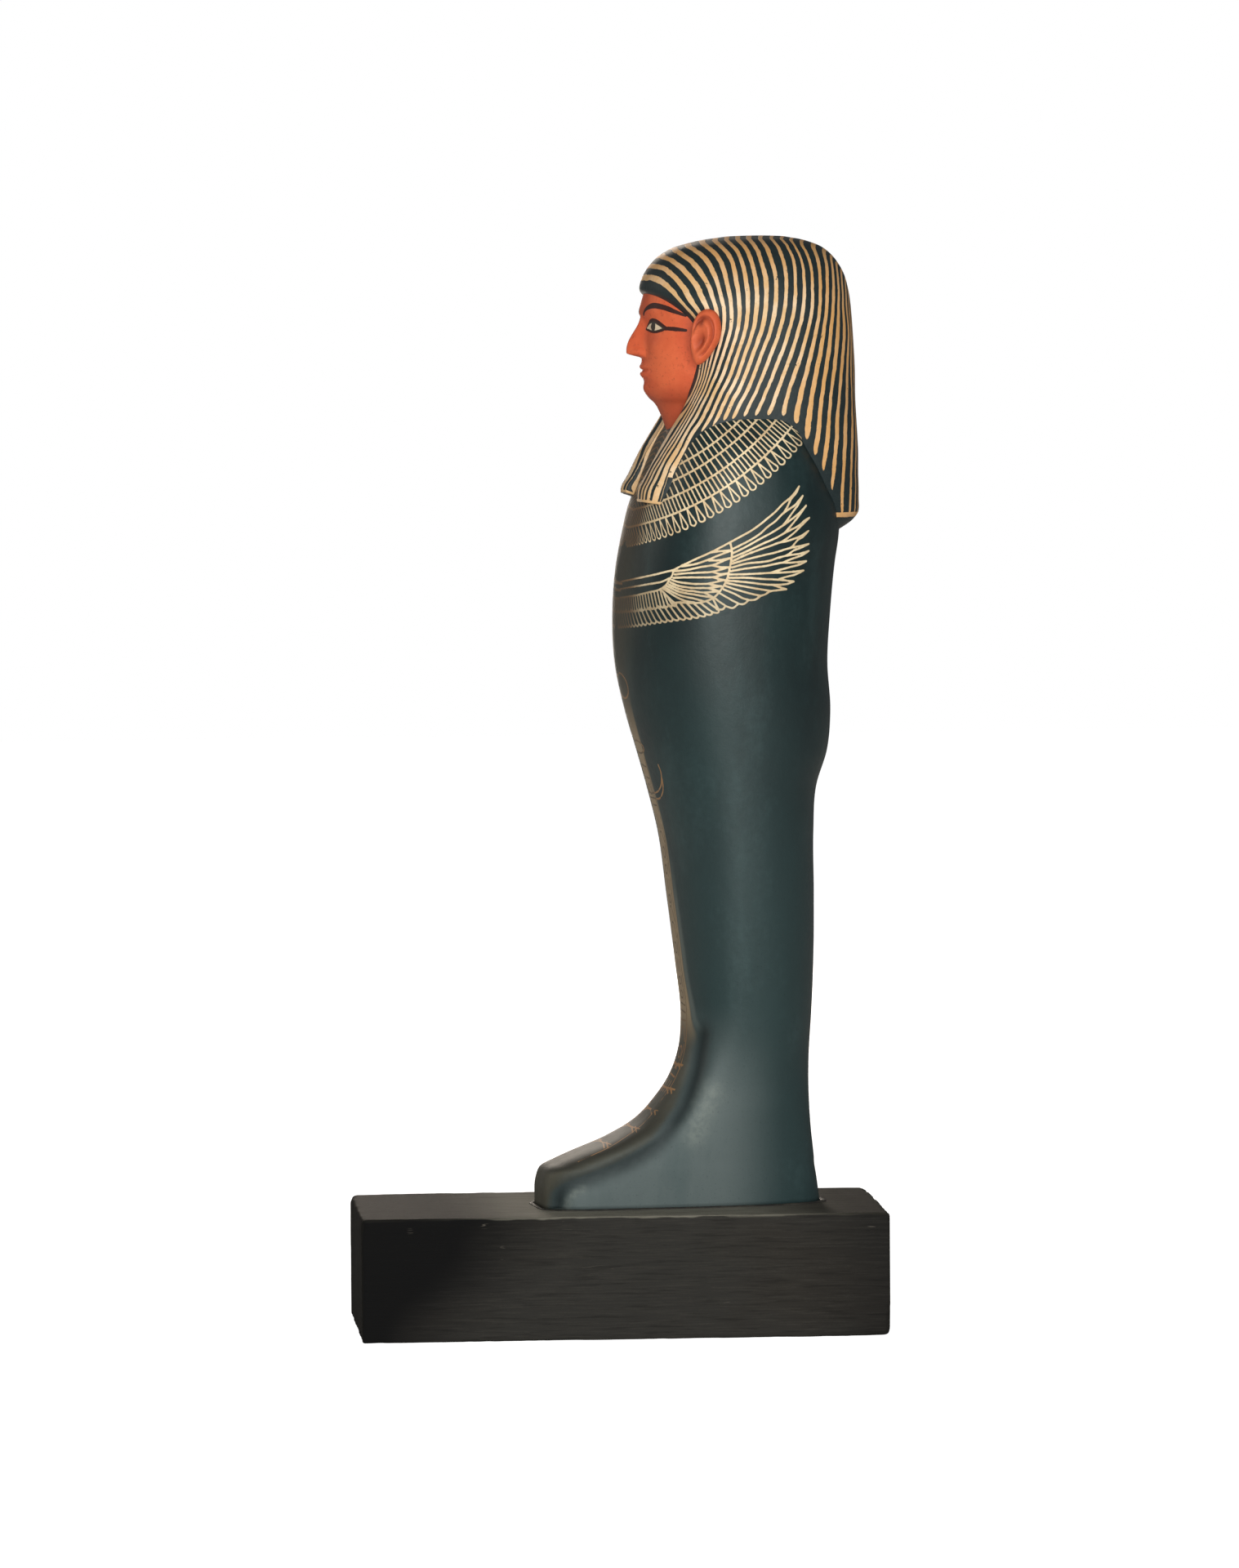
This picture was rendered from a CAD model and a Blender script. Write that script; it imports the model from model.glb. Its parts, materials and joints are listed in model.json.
import json
import math
import bpy
import numpy as np
from mathutils import Matrix, Vector, noise
from mathutils.bvhtree import BVHTree
from mathutils.kdtree import KDTree

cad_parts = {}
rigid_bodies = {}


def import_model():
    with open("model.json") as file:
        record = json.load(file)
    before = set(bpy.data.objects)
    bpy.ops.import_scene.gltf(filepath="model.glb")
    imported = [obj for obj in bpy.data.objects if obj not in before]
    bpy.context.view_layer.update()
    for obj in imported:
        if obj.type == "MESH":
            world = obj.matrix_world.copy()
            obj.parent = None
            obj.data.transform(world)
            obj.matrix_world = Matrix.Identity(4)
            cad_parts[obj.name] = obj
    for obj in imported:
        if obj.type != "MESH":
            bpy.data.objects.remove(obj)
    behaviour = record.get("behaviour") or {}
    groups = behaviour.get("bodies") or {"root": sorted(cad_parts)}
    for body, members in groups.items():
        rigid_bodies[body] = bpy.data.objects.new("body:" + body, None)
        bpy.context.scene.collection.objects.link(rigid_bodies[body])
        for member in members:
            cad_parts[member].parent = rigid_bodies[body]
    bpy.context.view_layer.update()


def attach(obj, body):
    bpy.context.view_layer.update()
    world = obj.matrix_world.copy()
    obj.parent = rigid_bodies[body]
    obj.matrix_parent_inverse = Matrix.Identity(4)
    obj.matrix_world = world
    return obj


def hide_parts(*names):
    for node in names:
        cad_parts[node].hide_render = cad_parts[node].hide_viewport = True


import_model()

# Where the figure stands: its carving is in thousandths of its height, from its own axis and sole
figurePlace = {"height": 0.540, "setback": 0.060, "sole": 0.0687, "turn": math.radians(6.0)}
unit = figurePlace["height"] / 1000
stand = Matrix.Translation((0, figurePlace["setback"], figurePlace["sole"]))
toWorld = stand @ Matrix.Rotation(figurePlace["turn"], 4, "Z")
toFigure = toWorld.inverted()

# The camera and its picture, in whose pixels the painted lines are drawn
picture = {
    "azimuth": 86.0, "elevation": 3.0, "roll": 0.45, "distance": 5.2, "target": (0.0, 0.0034, 0.3034),
    "lens": 213.75, "sensor": 36, "width": 1517, "height": 1920, "pixelsPerMm": 2.192,
}


def cameraAxes():
    a, e, t = (math.radians(picture[k]) for k in ("azimuth", "elevation", "roll"))
    back = Vector((math.sin(a) * math.cos(e), -math.cos(a) * math.cos(e), math.sin(e)))
    right = Vector((math.cos(a), math.sin(a), 0))
    up = back.cross(right)
    return back, right * math.cos(t) - up * math.sin(t), up * math.cos(t) + right * math.sin(t)


back, right, up = cameraAxes()
eye = Vector(picture["target"]) + back * picture["distance"]
pixelLens = picture["lens"] / picture["sensor"] * picture["height"]
middleX, middleY = picture["width"] / 2, picture["height"] / 2


def toPixels(points):
    # World points, as they land in the picture
    p = points - np.array(eye)
    scale = pixelLens / -(p @ np.array(back))
    return np.c_[middleX + scale * (p @ np.array(right)), middleY - scale * (p @ np.array(up))]


def throughPixel(x, y):
    return (right * ((x - middleX) / pixelLens) + up * ((middleY - y) / pixelLens) - back).normalized()


def addCamera():
    data = bpy.data.cameras.new("camera")
    data.lens, data.sensor_width, data.sensor_fit = picture["lens"], picture["sensor"], "AUTO"
    data.clip_end = 200
    camera = bpy.data.objects.new("camera", data)
    bpy.context.scene.collection.objects.link(camera)
    camera.matrix_world = Matrix.Translation(eye) @ Matrix((right, up, back)).transposed().to_4x4()
    bpy.context.scene.camera = camera


addCamera()
print("camera set")


def justThis(obj):
    bpy.ops.object.select_all(action="DESELECT")
    obj.select_set(True)
    bpy.context.view_layer.objects.active = obj


def newMesh(name, make, **sizes):
    # A plain shape to start from
    bpy.ops.object.select_all(action="DESELECT")
    make(**sizes)
    obj = bpy.context.object
    obj.name = obj.data.name = name
    return obj


def settled(obj, closing=False):
    # Closed where asked, its faces outwards and shaded smooth
    while obj.data.uv_layers:
        obj.data.uv_layers.remove(obj.data.uv_layers[0])
    justThis(obj)
    bpy.ops.object.mode_set(mode="EDIT")
    bpy.ops.mesh.select_all(action="SELECT")
    if closing:
        bpy.ops.mesh.remove_doubles(threshold=1e-6)
        bpy.ops.mesh.fill_holes(sides=0)
        bpy.ops.mesh.select_all(action="SELECT")
    bpy.ops.mesh.normals_make_consistent(inside=False)
    bpy.ops.object.mode_set(mode="OBJECT")
    obj.data.shade_smooth()
    return obj


def verts(obj):
    co = np.empty(len(obj.data.vertices) * 3, dtype=np.float32)
    obj.data.vertices.foreach_get("co", co)
    return co.reshape(-1, 3).astype(float)


def setVerts(obj, co):
    obj.data.vertices.foreach_set("co", np.ascontiguousarray(co, dtype=np.float32).ravel())
    obj.data.update()


def setAttribute(obj, name, values):
    layer = obj.data.attributes.get(name) or obj.data.attributes.new(name, "FLOAT", "POINT")
    layer.data.foreach_set("value", np.ascontiguousarray(values, dtype=np.float32))


def getAttribute(obj, name):
    out = np.empty(len(obj.data.vertices), dtype=np.float32)
    obj.data.attributes[name].data.foreach_get("value", out)
    return out


def inWorld(points):
    # Figure points, in thousandths, to world points in metres
    m = np.array(toWorld)
    return points * unit @ m[:3, :3].T + m[:3, 3]


def inFigure(points):
    m = np.array(toFigure)
    return (points @ m[:3, :3].T + m[:3, 3]) / unit


def mirrored(points):
    own = inFigure(points)
    own[:, 0] *= -1
    return inWorld(own)


def treeOf(obj):
    data = obj.data
    return BVHTree.FromPolygons([v.co for v in data.vertices], [p.vertices for p in data.polygons])


def meets(tree, start, way):
    # Where a ray in the figure's own thousandths meets a piece
    return tree.ray_cast(toWorld @ (Vector(start) * unit), toWorld.to_3x3() @ Vector(way))[0]


def ease(x):
    x = np.clip(x, 0, 1)
    return x * x * (3 - 2 * x)


def bell(x, width):
    # 1 at nothing, falling away softly on either side
    return np.exp(-((x / width) ** 2))


def runAlong(points):
    # How far along a line each of its points is
    return np.concatenate(([0], np.cumsum(np.linalg.norm(np.diff(points, axis=0), axis=1))))


def evenly(points, count):
    run = runAlong(points)
    at = np.linspace(0, run[-1], count)
    return np.c_[tuple(np.interp(at, run, side) for side in points.T)]


def smoothRows(rows, spacing, finer=1):
    # A smooth curve through the rows, each span cut evenly to about the spacing and then again by finer
    knots = np.array(rows, dtype=float)
    place = runAlong(knots[:, :5])
    slopes = np.gradient(knots, place, axis=0)
    out = [knots[:1]]
    for i, width in enumerate(np.diff(place)):
        count = finer * max(1, math.ceil(width / spacing))
        t = (np.arange(count) + 1)[:, None] / count
        start = (2 * t**3 - 3 * t**2 + 1) * knots[i] + (t**3 - 2 * t**2 + t) * width * slopes[i]
        end = (3 * t**2 - 2 * t**3) * knots[i + 1] + (t**3 - t**2) * width * slopes[i + 1]
        out.append(start + end)
    return np.concatenate(out)


def sections(rows, frontSides, backSides):
    # Every row's outline, from the middle of the back round by +X to the front and on, even in each quarter
    angle = np.linspace(0, math.pi / 2, 400)
    grid = []
    for height, front, middle, rear, half, frontPower, backPower in rows:
        quarters = []
        for depth, power, sides in ((rear - middle, backPower, backSides), (front - middle, frontPower, frontSides)):
            x, y = half * np.sin(angle) ** (2 / power), middle + depth * np.cos(angle) ** (2 / power)
            quarters.append(evenly(np.c_[x, y], sides + 1))
        nearSide = np.concatenate((quarters[0], quarters[1][::-1][1:]))
        loop = np.concatenate((nearSide, nearSide[::-1][1:] * (-1, 1)))
        grid.append(np.c_[loop, np.full(len(loop), height)])
    return np.array(grid)


def rolled(name, grid):
    # A flat grid rolled into a closed tube through the sections
    high, wide = grid.shape[:2]
    obj = newMesh(name, bpy.ops.mesh.primitive_grid_add, x_subdivisions=wide - 1, y_subdivisions=high - 1, size=1)
    flat = verts(obj)
    column = np.rint((flat[:, 0] + 0.5) * (wide - 1)).astype(int)
    row = np.rint((flat[:, 1] + 0.5) * (high - 1)).astype(int)
    setVerts(obj, inWorld(grid[row, column]))
    setAttribute(obj, "row", row)
    setAttribute(obj, "column", column)
    return settled(obj, True)


body = {
    "rows": (  # height, front, widest place, back, half width, squareness in front, squareness behind
        (0, -194.5, -90, 99.5, 60, 5.2, 3.0), (28, -193.5, -82.7, 96, 61, 4.6, 2.9),
        (38, -190, -80, 94.5, 61.5, 4.2, 2.8), (45, -177, -76, 94.2, 61.5, 4.1, 2.75),
        (53, -158.4, -66.7, 93.5, 61.5, 4.0, 2.7), (68, -120.5, -50, 92, 61.5, 3.9, 2.6),
        (86, -89.5, -27.5, 90.5, 61.5, 3.6, 2.5), (104, -72.5, -5, 89.5, 62, 3.2, 2.4),
        (128, -55.5, 2.3, 89, 64, 2.8, 2.3), (160, -43.9, 12, 89.5, 69, 2.5, 2.3),
        (192, -41.3, 18, 91.5, 76, 2.35, 2.25), (250, -46.6, 17, 94, 87, 2.3, 2.2),
        (320, -54.9, 14, 94.5, 98.5, 2.25, 2.2), (385, -63.2, 11, 94, 107.5, 2.25, 2.2),
        (432, -74.6, 9, 97, 114, 2.25, 2.2), (470, -85, 7, 109, 119, 2.3, 2.2),
        (510, -96.5, 5, 112.5, 124, 2.3, 2.2), (560, -106.5, 2, 109.5, 129, 2.35, 2.2),
        (612, -108, 3, 112.5, 133, 2.4, 2.2), (662, -103.5, 5, 117.5, 136, 2.4, 2.2),
        (694, -96.5, 8, 121.5, 137.5, 2.5, 2.3), (721, -89, 11, 121, 137, 2.65, 2.4),
        (740, -81.5, 13, 112, 134.5, 2.7, 2.5), (762, -73, 15, 101, 130.5, 2.75, 2.65),
        (785, -63, 18, 87, 122, 2.85, 3.0), (803, -52, 23, 76, 110.5, 3.0, 3.8), (814, -42, 27, 68, 101, 3.2, 3.8),
        (824, -28, 29, 56, 82, 3.2, 3.2), (831, -12, 30, 46, 55, 2.6, 2.6),
    ),
    "rowSpacing": 5.2, "frontSides": 36, "backSides": 32, "finer": 5,
    "lineWidth": 1.1, "lineReach": 2.4,  # in mm: a painted line, and how far from it the mesh is made finer
}


def makeBodyMesh():
    finer = body["finer"]
    rows = smoothRows(body["rows"], body["rowSpacing"], finer)
    truth = sections(rows, body["frontSides"] * finer, body["backSides"] * finer)
    return rolled("figureBody", truth[::finer, ::finer]), truth


bodyPiece, bodyTruth = makeBodyMesh()
bodyTree = treeOf(bodyPiece)
print("body:", len(bodyPiece.data.polygons), "faces")


# Painted lines, as (x, y) in the picture; every curve is mirrored on the other side
wing = {
    "edge": (
        (753, 713.5), (761, 712), (778, 708.5), (800, 704), (816, 700), (824.5, 698), (834.5, 692.8), (851, 685),
        (871, 676), (894, 664), (905, 658), (919.5, 650), (929.5, 643), (939.5, 635), (949.5, 626.5), (958, 617.5),
        (968, 609), (974, 602), (978.5, 595.5),
    ),
    "inner": (
        ((753, 722), (759, 721.3), (778, 718), (795, 715.2), (810, 712.4), (819.5, 708)),
        ((753, 732.5), (759, 731.8), (778, 729), (795, 725.1), (804.7, 723), (810.5, 720.2), (815.5, 716),
         (819.6, 709.7), (823, 704.4), (824.6, 698.6)),
        ((894.3, 665), (896, 674.5), (895.3, 686), (892.6, 699.4), (889.3, 711), (882.6, 722.6), (876, 730),
         (867.7, 735), (856, 738), (844.5, 738.4), (833, 737.6), (822, 738.8)),
    ),
    "primaries": (
        ((896.5, 672.5), (914.5, 663.5), (929.5, 654.5), (939.5, 645.5), (949.5, 638), (959, 628.5), (972, 619.5),
         (978, 613), (983, 607)),
        ((897.5, 677.5), (914.5, 669), (929.5, 660.5), (944.5, 652.5), (958, 644), (967, 637.5), (977, 629.5),
         (983, 623.5), (987, 619)),
        ((897, 682.5), (914.5, 675), (934.5, 665.5), (949.5, 659), (961, 652.5), (969, 648.5), (978, 643.5),
         (985, 637.5), (991, 634)),
        ((897, 687), (914.5, 679), (934.5, 671.5), (944.5, 668), (954, 664.5), (964, 662.5), (974, 659), (981, 656),
         (990, 650)),
        ((896, 690.5), (914.5, 685), (934.5, 680), (949.5, 676.5), (962, 672.5), (970, 670.5), (980, 668.5),
         (990.5, 666)),
        ((896, 695), (914.5, 690), (934.5, 688), (944.5, 686), (954, 682.5), (969, 679.5), (979, 678),
         (990.5, 674.5)),
        ((894.5, 699.5), (914.5, 696), (934.5, 693.5), (949.5, 690.5), (958, 689), (969, 689), (979, 688),
         (987.5, 687)),
        ((893, 703.5), (914.5, 703), (934.5, 702), (944.5, 701.5), (959, 701), (972, 700), (984, 698.5)),
        ((892.5, 707.5), (914.5, 707.5), (934.5, 709), (948.5, 709.5), (964, 711), (972, 712)),
        ((891.5, 711), (914.5, 713), (934.5, 715.5), (946.5, 716.5), (954, 719), (963, 721.5)),
        ((890, 714), (905, 717), (924.5, 720.5), (942.5, 723.5)),
        ((888, 717.5), (905, 723), (919.5, 727), (931.5, 729.5)),
        ((885.5, 721.5), (900, 727.5), (909.5, 732.5), (916.5, 734.5)),
        ((880.5, 726), (890, 731.5), (900, 737), (904, 739)),
        ((874.5, 731.5), (881, 737), (888, 741.5)),
    ),
    "tips": (
        ((978.5, 595.5), (974.5, 604), (969, 610.5), (965, 618.5), (959.5, 628.5)),
        ((983, 607), (977, 618.5), (971, 626.5), (964, 636.5), (958, 644)),
        ((987, 619), (979, 630.5), (972, 639.5), (961, 652)),
        ((991, 634), (980, 645), (971, 653.5), (963, 659.5), (956, 664)),
        ((990, 650), (983, 657.5), (977, 661), (971, 668), (968, 670.5)),
        ((990.5, 666), (980, 671), (972, 674), (964, 679.5), (954, 683)),
        ((990.5, 674.5), (982, 680), (969, 684.5), (958, 689)),
        ((987.5, 687), (980, 691), (969, 694), (954, 698), (944.5, 701)),
        ((984, 698.5), (974, 703.5), (964, 706), (954, 709)),
        ((972, 712), (964, 715), (954, 716), (944.5, 716)),
        ((963, 721.5), (954, 722.5), (943.5, 724), (937.5, 727.5), (931.5, 729.5)),
        ((931.5, 729.5), (925, 734), (916.5, 735)),
        ((916.5, 735), (911, 739.5), (904, 739.5)),
        ((904, 739.5), (897, 744.5), (888, 742)),
        ((888, 742), (885, 746), (878, 746.5)),
    ),
    "fan": (
        ((835, 693.6), (850, 691), (860, 688), (868, 685), (880, 680), (894.5, 674.5)),
        ((825.5, 699.4), (840, 698), (850, 696), (860, 694), (874.3, 691.5), (894.3, 683.2)),
        ((825.5, 703.6), (840, 702), (860, 701), (873, 700), (892.3, 694.5)),
        ((824, 707.5), (840, 707), (860, 707), (874, 706.5), (891, 702)),
        ((822.5, 710), (830, 712.5), (840, 714), (850, 715), (860, 715), (868, 714.5), (886.8, 710.2)),
        ((820.5, 713), (830, 717), (840, 719), (850, 720), (860, 720), (868, 720), (883.5, 717.7)),
        ((818.5, 715.5), (830, 720.5), (840, 723), (850, 724), (862, 725.5), (880, 724)),
        ((816.5, 717.5), (830, 724), (840, 726.5), (850, 728), (858, 729.5), (873.5, 731.8)),
        ((814, 719.5), (830, 728), (840, 731), (850, 733), (861, 736)),
        ((811.5, 720.5), (820, 726), (830, 732), (840, 736), (850, 737.5)),
        ((808.5, 721.5), (815, 728), (822, 735), (826, 738)),
    ),
    "points": (
        ((870, 676.5), (882, 675), (895, 673.7)), ((867.7, 686.5), (880, 686), (894.3, 683.2)),
        ((873, 692.5), (882, 694.5), (892.3, 694.5)), ((872.7, 700.5), (882, 703), (891, 702)),
        ((873.5, 707), (880, 709), (886.8, 710.2)), ((867.7, 715), (876, 717), (883.5, 717.7)),
        ((868, 720.5), (875, 722.5), (880, 724)), ((862, 725.5), (868, 728.5), (873.5, 731.8)),
    ),
    # Rows of short feathers: the line they hang from and the line their ends reach, how far apart they are
    # in metres, and by how many feathers the ends lean back
    "coverts": (
        {"from": ((755, 732.5), (778, 729), (795, 725.5), (806, 723), (814, 727), (820, 733)),
         "to": ((756, 748), (778, 746.5), (795, 744), (806, 742.5), (818, 741), (828, 740)),
         "spacing": 0.0026, "lean": 0},
        {"from": ((755, 748), (778, 746), (795, 744), (820, 740.5), (845, 739), (862, 737.5), (873, 733.5)),
         "to": ((755, 766), (778, 764), (795, 761.5), (820, 758), (845, 755), (862, 752), (880, 747)),
         "spacing": 0.0038, "lean": 1},
    ),
    "covertEnd": 0.42,  # how far a feather's round end stands out, for its width
}


def curveThrough(points, step):
    # A smooth curve through drawn points, as dots a step apart
    p = np.array(points, dtype=float)
    q = np.vstack((2 * p[0] - p[1], p, 2 * p[-1] - p[-2]))
    out = [p[:1]]
    for a, b, c, d in zip(q, q[1:], q[2:], q[3:]):
        count = max(1, math.ceil(np.linalg.norm(c - b) / step))
        t = (np.arange(count) + 1)[:, None] / count
        out.append(0.5 * (2 * b + (c - a) * t + (2 * a - 5 * b + 4 * c - d) * t**2 + (3 * b - a - 3 * c + d) * t**3))
    return np.concatenate(out)


def ontoSurface(tree, pixels):
    # Picture points, cast from the camera onto a surface; a point that misses is left out
    spots = [tree.ray_cast(eye, throughPixel(x, y))[0] for x, y in pixels]
    return np.array([spot for spot in spots if spot is not None]).reshape(-1, 3)


def drawn(points, step=0.7):
    # A curve of the picture laid on the body
    return ontoSurface(bodyTree, curveThrough(points, step))


def onBody(points):
    return np.array([bodyTree.find_nearest(Vector(p))[0] for p in points])


def between(a, b, count):
    t = np.linspace(0, 1, count)[:, None]
    return onBody(a * (1 - t) + b * t)


def fromMiddle(spots):
    # The same line, led on to the middle of the front
    start = inFigure(spots[:1])[0]
    middle = inWorld(np.array([[0, start[1] - 1, start[2]]]))[0]
    return np.concatenate((between(middle, spots[0], 30), spots))


def feathers(row):
    # A row of short round-ended feathers between two drawn curves
    above, below = (fromMiddle(drawn(row[key], 2)) for key in ("from", "to"))
    spacing, lean = row["spacing"], row["lean"]
    count = int(runAlong(below)[-1] / spacing)
    tops, ends = evenly(above, count + 1), evenly(below, count + 1)
    strokes = [between(tops[i], ends[min(count, i + lean)], 24) for i in range(count + 1)]
    t = np.linspace(0, 1, 12)[:, None]
    for i in range(lean, count):
        down = ends[i] - tops[max(0, i - lean)]
        out = down / np.linalg.norm(down) * (spacing * wing["covertEnd"])
        strokes.append(onBody(ends[i] * (1 - t) + ends[i + 1] * t + out * np.sin(np.pi * t)))
    return strokes


column = {
    # Height and half width down the shin, then place and half width out along the instep
    "shin": ((462, 14.5), (300, 15), (190, 17), (102, 20)),
    "instep": ((-72, 22), (-100, 32), (-130, 43), (-160, 45)),
    # Signs: the first one's top, the lowest top, their height, how much of the width they take, and the gap
    "top": 455, "lowest": 128, "signHeight": 17, "signWidth": 0.74, "signGap": 3.5, "seed": 7,
    # Pairs of strokes beside the instep, in the picture, and how long and how far apart they are there
    "pairs": ((739, 1402), (774, 1383), (797, 1361), (817, 1335), (827, 1305)), "pairSize": (7.5, 4.5),
    # How wide the browned strip round it is, by height; on the foot it ends some pixels short of the groove
    "browned": (
        (41, 50), (57, 53), (73, 52), (100, 45), (157, 34), (230, 21), (460, 15),
        (520, 22), (570, 45), (610, 60), (650, 60), (700, 54), (740, 50),
    ),
    "bandGap": 9, "footTop": 200, "footEase": 30,
}
# Above the column: two rounds, as middle height, half width and half height, and the near half of a boat
motifs = {
    "rounds": ((537, 27, 13), (473.5, 24, 6.5)),
    "boat": (
        ((0, 425), (7.5, 425.7), (29, 428), (43.6, 434.3), (50.8, 442.6), (53.5, 450), (52.4, 457)),
        ((0, 420.5), (29, 421), (43.3, 427.5), (49.2, 434.5), (51.8, 442.7)),
    ),
}


def frontSpot(x, z):
    return meets(bodyTree, (x, -300, z), (0, 1, 0))


def instepSpot(x, y):
    return meets(bodyTree, (x, y, 200), (0, 0, -1))


def frontStroke(points, spot=frontSpot):
    return np.array([spot(x, z) for x, z in curveThrough(points, 1.0)])


def oval(height, wide, tall, count):
    # Once round, from the side that is at +X
    return [(wide * math.cos(a), height + tall * math.sin(a)) for a in np.linspace(0, 6.283, count)]


def columnStrokes():
    # Two border lines and, between them, rows of plain marks; the instep is drawn from above
    strokes = []
    rng = np.random.default_rng(column["seed"])
    for spot, sides in ((frontSpot, column["shin"]), (instepSpot, column["instep"])):
        for side in (-1, 1):
            strokes.append(frontStroke([(side * half, place) for place, half in sides], spot))
    places, halves = zip(*sorted(column["shin"]))
    high = column["top"]
    while high > column["lowest"]:
        tall = column["signHeight"] * rng.uniform(0.55, 1.0)
        half = np.interp(high, places, halves) * column["signWidth"]
        low = high - tall
        middle = (low + high) / 2
        signs = (
            [[(-half, middle), (half, middle)]],
            [[(x, low + 1), (x, high - 1)] for x in (-half * 0.7, 0, half * 0.7)],
            [[(-half, low), (-half * 0.4, high), (half * 0.4, high), (half, low)]],
            [[(-half, high), (half, high - 2)], [(-half, low + 2), (half, low)]],
            [oval(middle, half * 0.5, tall * 0.36, 9), [(half * 0.75, low), (half * 0.9, high)]],
        )
        strokes += [frontStroke(line) for line in signs[rng.integers(0, 5)]]
        high = low - column["signGap"]
    long, apart = column["pairSize"]
    for x, y in column["pairs"]:
        lean, half = long * 0.1, long / 2
        for line in (
            ((x - lean, y - half), (x + lean, y + half)),
            ((x + apart - lean, y - half), (x + apart + lean, y + half)),
            ((x - apart, y - long * 0.6), (x + 2 * apart, y - lean)),
        ):
            spots = drawn(line, 0.5)
            strokes += [spots, mirrored(spots)]
    return strokes


def motifStrokes():
    strokes = [frontStroke(oval(*sizes, 17)) for sizes in motifs["rounds"]]
    for line in motifs["boat"]:
        strokes += [frontStroke(line), frontStroke([(-x, z) for x, z in line])]
    return strokes


def wingStrokes():
    strokes = [fromMiddle(drawn(line)) for line in (wing["edge"], *wing["inner"][:2])]
    for line in (wing["inner"][2], *wing["primaries"], *wing["tips"], *wing["fan"], *wing["points"]):
        strokes.append(drawn(line))
    for row in wing["coverts"]:
        strokes += feathers(row)
    return strokes


def nearest(dots, points, reach):
    # Distance in mm from each point to the nearest dot, up to the reach
    tree = KDTree(len(dots))
    for i, dot in enumerate(dots):
        tree.insert(dot, i)
    tree.balance()
    return np.array([min(reach, tree.find(p)[2] * 1000) for p in points])


def refine(obj, dots, truth):
    # The mesh is made finer round the lines, and the new points are set on the true surface
    finer = body["finer"]
    near = nearest(dots, [p.center for p in obj.data.polygons], 9) < body["lineReach"]
    justThis(obj)
    bpy.ops.object.mode_set(mode="EDIT")
    bpy.ops.mesh.select_all(action="DESELECT")
    bpy.ops.mesh.select_mode(type="FACE")
    bpy.ops.object.mode_set(mode="OBJECT")
    obj.data.polygons.foreach_set("select", near)
    bpy.ops.object.mode_set(mode="EDIT")
    bpy.ops.mesh.subdivide(number_cuts=finer - 1)
    bpy.ops.object.mode_set(mode="OBJECT")
    row, side = (np.rint(getAttribute(obj, name) * finer).astype(int) for name in ("row", "column"))
    setVerts(obj, inWorld(truth[np.clip(row, 0, truth.shape[0] - 1), np.clip(side, 0, truth.shape[1] - 1)]))
    obj.data.shade_smooth()


collar = {
    "centre": (699, 308), "outerRing": 345,  # in the picture
    # In mm out from the centre: the rings, the ticks between two of them with their distance, and the drops
    "rings": (133.4, 140.1, 148.3, 157.4),
    "ticks": ((110, 133.4, 4.0), (133.4, 140.1, 3.7), (140.1, 148.3, 3.85), (148.3, 157.4, 2.75)),
    "dropEnd": 167.9, "dropWidth": 5.3, "dropRadius": 1.62,
    "ringHalf": 0.56, "tickHalf": 0.48, "dropHalf": 0.45,
    # How far round it is measured, in degrees, and below and behind what there is none of it
    "reach": 75, "lowest": 560, "rearmost": 90,
}


def collarFields(obj):
    # How far out each point is, and how far round from the middle of the chest, both in mm
    own = inFigure(verts(obj))
    own[:, 0] = np.abs(own[:, 0])
    x, y = (toPixels(inWorld(own)) - np.array(collar["centre"])).T
    (centreX, centreY), ring = collar["centre"], collar["outerRing"]
    turns, spots = [], []
    for turn in np.radians(np.arange(0, collar["reach"], 0.25)):
        way = throughPixel(centreX + ring * math.sin(turn), centreY + ring * math.cos(turn))
        spot = bodyTree.ray_cast(eye, way)[0]
        if spot is not None:
            turns.append(turn)
            spots.append(spot)
    out = np.hypot(x, y)
    out[(own[:, 2] < collar["lowest"]) | (own[:, 1] > collar["rearmost"])] = 999  # off the collar
    setAttribute(obj, "collarOut", out / picture["pixelsPerMm"])
    setAttribute(obj, "collarAround", np.interp(np.arctan2(x, y), turns, runAlong(np.array(spots)) * 1000))


# A shallow groove between the instep and the side of the foot
groove = {
    "line": (
        (859, 1268), (856, 1290), (851, 1315), (837, 1354), (808, 1397),
        (768, 1423), (718, 1443), (697, 1450), (685, 1460), (682, 1480),
    ),
    "depth": 0.0021, "width": 6.0,
}
# The worn streaks of light behind it, with their widths
sheen = (
    (((872, 1338), (864, 1356), (857, 1374), (850, 1390)), 6.5),
    (((714, 1457), (704, 1461), (697, 1469), (694, 1478)), 2.2),
)


def besideLine(obj, line, width):
    # 1 on a curve of the picture, and on its mirror image, falling away over a width in mm
    dots = drawn(line, 3)
    return bell(nearest(np.concatenate((dots, mirrored(dots))), verts(obj), 30), width)


def pressGroove(obj):
    deep = besideLine(obj, groove["line"], groove["width"])
    normals = np.array([v.normal for v in obj.data.vertices])
    setVerts(obj, verts(obj) - normals * (groove["depth"] * deep)[:, None])
    setAttribute(obj, "groove", deep)
    setAttribute(obj, "sheen", np.maximum(*(besideLine(obj, line, width) for line, width in sheen)))


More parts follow.
